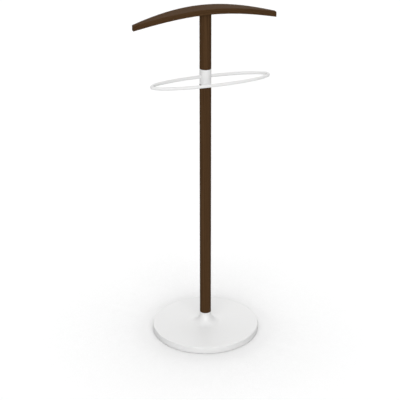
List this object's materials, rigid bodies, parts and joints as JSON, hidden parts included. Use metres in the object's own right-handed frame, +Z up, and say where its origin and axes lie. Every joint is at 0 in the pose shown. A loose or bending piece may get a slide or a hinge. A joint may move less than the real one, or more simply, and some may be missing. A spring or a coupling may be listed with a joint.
{
  "type": "valet stand",
  "caption": "Free-standing valet stand: weighted round base, slim wooden post, oval trouser ring held in a metal collar, and an arched wooden hanger board on top.",
  "frame": {"origin": "on the floor, under the middle of the post, in the plane of the glides' undersides", "axes": "+Z up along the post; the hanger board and the trouser ring lie along X; the ring reaches forward towards -Y"},
  "size_m": [0.46, 0.35, 1.104],
  "materials": {
    "white_powder_coat": "satin white powder coat",
    "dark_wood": "dark brown stain under a satin lacquer",
    "cast_iron": "grey primer",
    "zinc_steel": "zinc plated",
    "brass": "turned",
    "felt": "pressed grey felt",
    "beech": "plain beech"
  },
  "bodies": {
    "root": {"base_cover": "white_powder_coat", "ballast_disc": "cast_iron", "base_glide_1": "felt", "base_glide_2": "felt", "base_glide_3": "felt", "base_glide_4": "felt", "base_glide_5": "felt", "base_glide_6": "felt", "post_spigot": "zinc_steel", "base_washer": "zinc_steel", "base_bolt": "zinc_steel", "lower_post": "dark_wood", "lower_post_base_insert": "brass", "lower_post_top_insert": "brass", "collar": "white_powder_coat", "lower_collar_stud": "zinc_steel", "upper_collar_stud": "zinc_steel", "trouser_ring": "white_powder_coat", "ring_set_screw_left": "zinc_steel", "ring_set_screw_right": "zinc_steel", "upper_post": "dark_wood", "upper_post_insert": "brass", "hanger_board": "dark_wood", "hanger_dowel_left": "beech", "hanger_dowel_right": "beech"}
  },
  "joints": []
}
